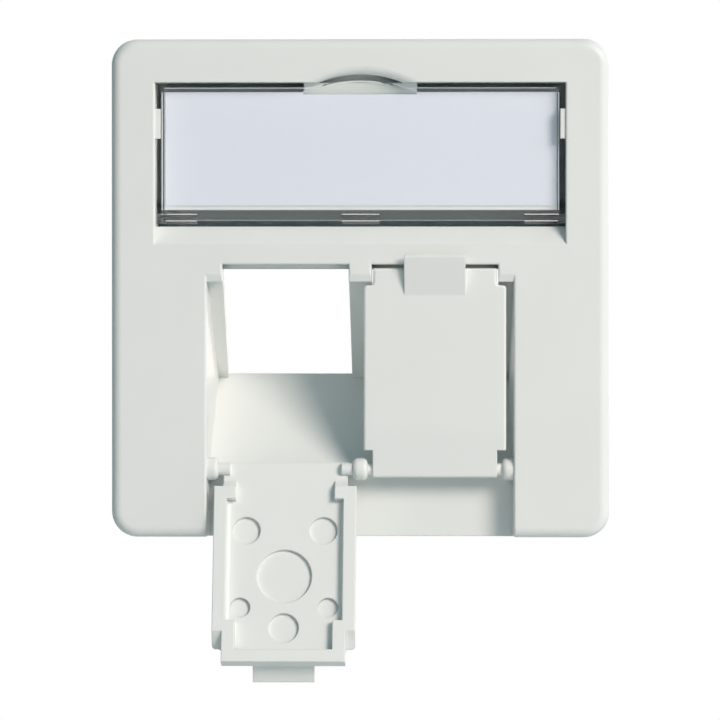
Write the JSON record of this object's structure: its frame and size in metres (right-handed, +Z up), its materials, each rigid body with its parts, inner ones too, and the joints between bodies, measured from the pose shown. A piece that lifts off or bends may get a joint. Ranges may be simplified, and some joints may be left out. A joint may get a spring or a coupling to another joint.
{
  "type": "wall plate",
  "caption": "Square central cover plate for a data outlet, with a label field under a clear window and slanted ports closed by hinged dust flaps.",
  "frame": {"origin": "middle of the rim's back edge, in the plane where the plate seats on its frame", "axes": "+X to the right as seen from the front, +Y into the wall, +Z up"},
  "size_m": [0.05, 0.0258, 0.0643],
  "materials": {
    "white_plastic": "satin off-white moulding",
    "clear_plastic": "clear moulding",
    "label_paper": "plain white paper",
    "screw_steel": "zinc plated steel"
  },
  "bodies": {
    "plate": {"cover_plate": "white_plastic", "label_strip": "label_paper", "fixing_screw": "screw_steel"},
    "window": {"label_window": "clear_plastic"},
    "left_flap": {"left_dust_flap": "white_plastic"},
    "right_flap": {"right_dust_flap": "white_plastic"}
  },
  "joints": [
    {"name": "left_flap_hinge", "type": "hinge", "parent": "plate", "child": "left_flap", "pos_m": [-0.0075, -0.0077, -0.0182], "axis": [1, 0, 0], "range_deg": [-161, 0]},
    {"name": "right_flap_hinge", "type": "hinge", "parent": "plate", "child": "right_flap", "pos_m": [0.0075, -0.0077, -0.0182], "axis": [1, 0, 0], "range_deg": [0, 161]},
    {"name": "window_pivot", "type": "hinge", "parent": "plate", "child": "window", "pos_m": [0, -0.0063, 0.007], "axis": [1, 0, 0], "range_deg": [0, 18]}
  ]
}
